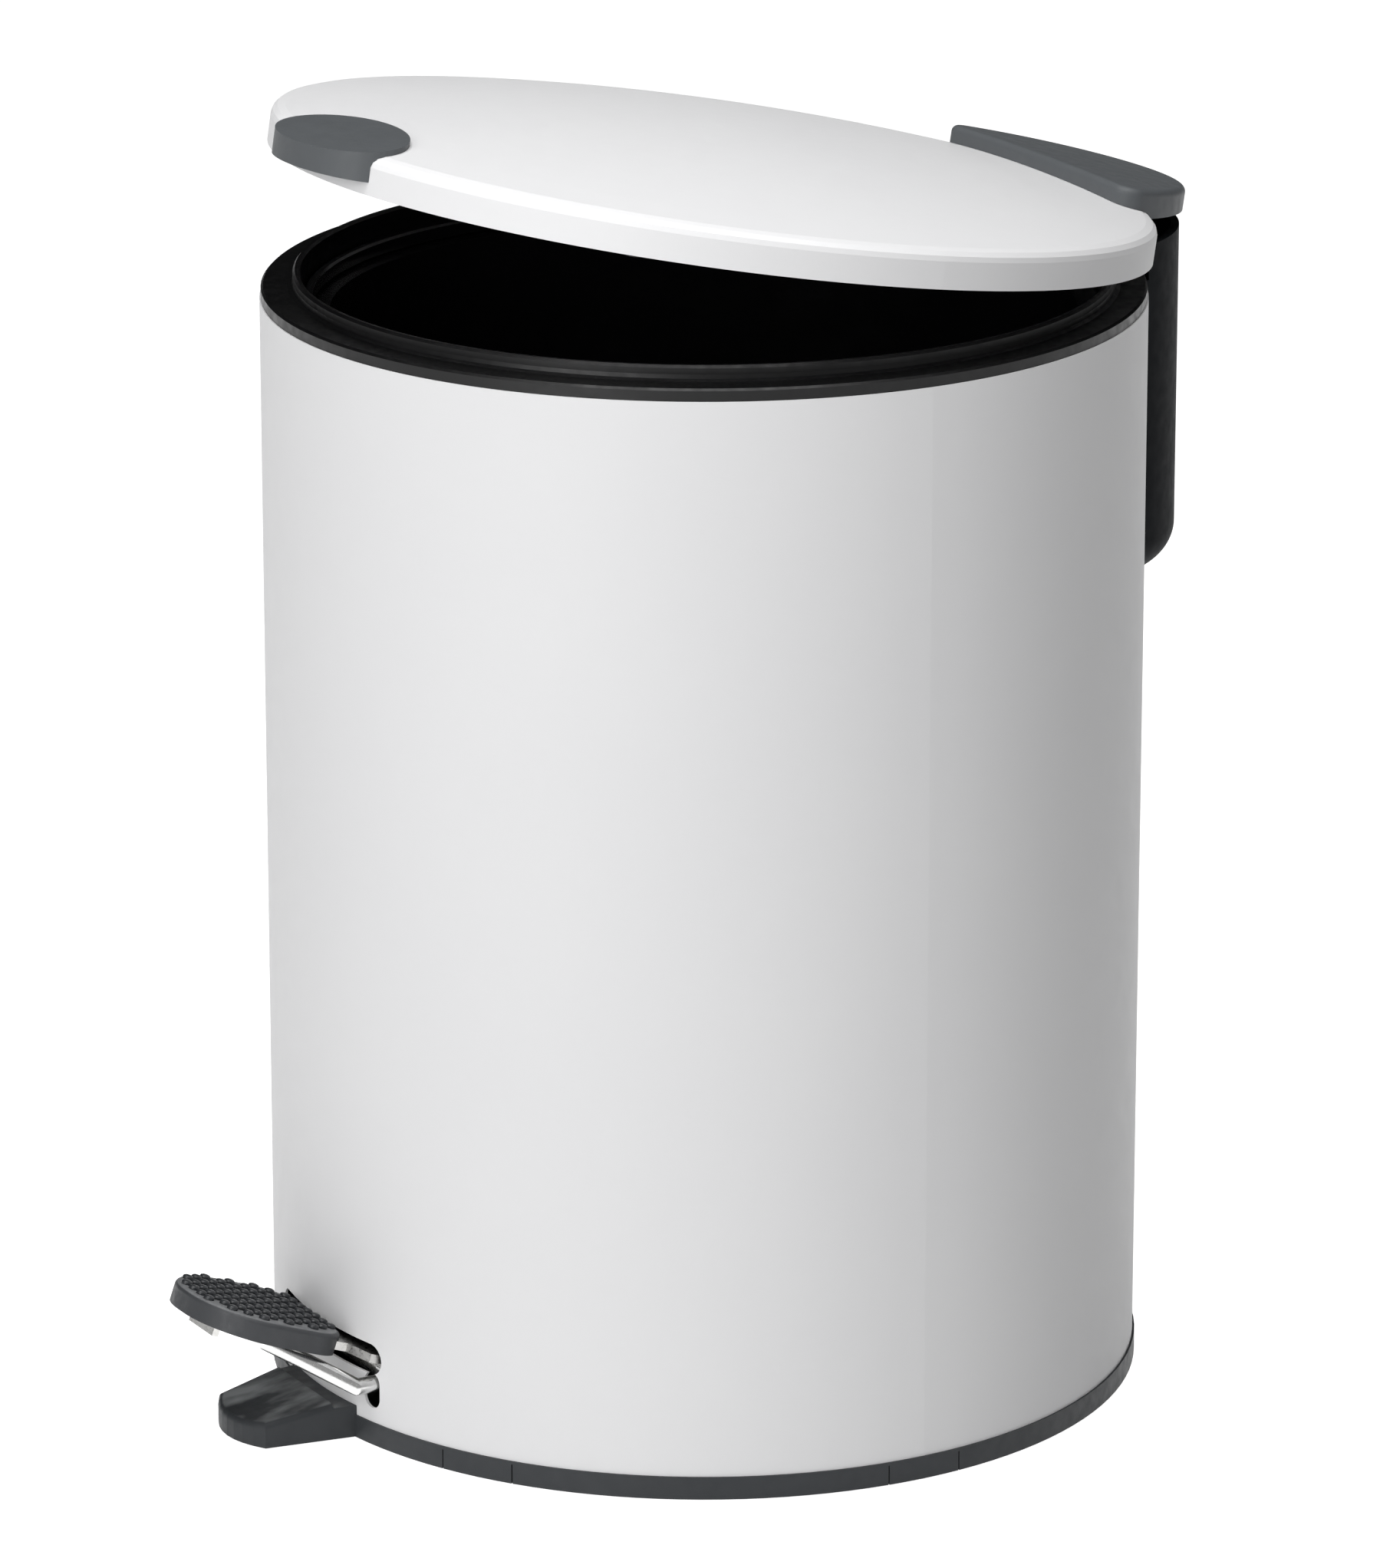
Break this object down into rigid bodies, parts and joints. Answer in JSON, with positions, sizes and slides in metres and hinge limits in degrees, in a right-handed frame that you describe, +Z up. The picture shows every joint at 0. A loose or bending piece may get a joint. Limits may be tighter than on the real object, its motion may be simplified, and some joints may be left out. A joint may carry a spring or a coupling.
{
  "type": "pedal bin",
  "caption": "Round steel pedal bin with a domed hinged lid, lift-out inner bucket, foot pedal with lifting rod, rear hinge housing and base tray with stabiliser.",
  "frame": {"origin": "on the drum's vertical axis, at the level of the floor the feet stand on", "axes": "+Z up along the drum's axis, -Y towards the pedal and the lid's front, +Y towards the lid hinge"},
  "size_m": [0.206, 0.2623, 0.3063],
  "materials": {
    "white_coat": "matt powder coat on sheet steel",
    "collar_black": "fine matt moulding",
    "bucket_black": "smooth gloss moulding",
    "handle_black": "smooth gloss moulding",
    "base_grey": "satin moulding, lightly rubbed on top",
    "housing_grey": "satin moulding",
    "trim_grey": "fine matt moulding",
    "liner_white": "matt moulding",
    "pad_rubber": "studded soft moulding",
    "foot_rubber": "plain",
    "bright_zinc": "bright zinc plate",
    "bright_wire": "polished round wire",
    "nylon": "plain nylon"
  },
  "bodies": {
    "bin": {"base_tray": "base_grey", "rubber_feet": "foot_rubber", "outer_shell": "white_coat", "top_collar": "collar_black", "bucket": "bucket_black", "rear_housing": "housing_grey", "hinge_pin": "bright_zinc", "housing_screws": "bright_zinc", "damper_body": "housing_grey", "pedal_axle": "bright_zinc", "axle_clips": "bright_zinc"},
    "lid": {"lid_shell": "white_coat", "lid_liner": "liner_white", "lid_bumpers": "foot_rubber", "thumb_tab": "trim_grey", "tab_screws": "bright_zinc", "hinge_cover": "trim_grey", "hinge_arm": "housing_grey", "arm_screws": "bright_zinc", "crank_pin": "bright_zinc"},
    "pedal": {"pedal_plate": "bright_zinc", "pedal_pad": "pad_rubber", "pedal_rivets": "bright_zinc", "pedal_rod": "bright_wire"},
    "lift": {"lift_frame": "bright_wire", "lift_head": "nylon", "damper_link": "nylon", "damper_plunger": "bright_zinc"},
    "handle": {"bucket_handle": "handle_black"}
  },
  "joints": [
    {"name": "lid_hinge", "type": "hinge", "parent": "bin", "child": "lid", "pos_m": [0, 0.114, 0.26], "axis": [-1, 0, 0], "range_deg": [-9.1, 70]},
    {"name": "pedal_hinge", "type": "hinge", "parent": "bin", "child": "pedal", "pos_m": [0, -0.095, 0.0172], "axis": [1, 0, 0], "range_deg": [-3.46, 26.56]},
    {"name": "lift_slide", "type": "slide", "parent": "bin", "child": "lift", "axis": [0, 0, 1], "range_m": [-0.00118, 0.00903]},
    {"name": "handle_hinge", "type": "hinge", "parent": "bin", "child": "handle", "pos_m": [0, 0, 0.257], "axis": [-1, 0, 0], "range_deg": [0, 4]}
  ],
  "couplings": [
    {"joint": "pedal_hinge", "follows": "lid_hinge", "ratio": 0.37927},
    {"joint": "lift_slide", "follows": "lid_hinge", "m_per_rad": 0.0073797}
  ]
}
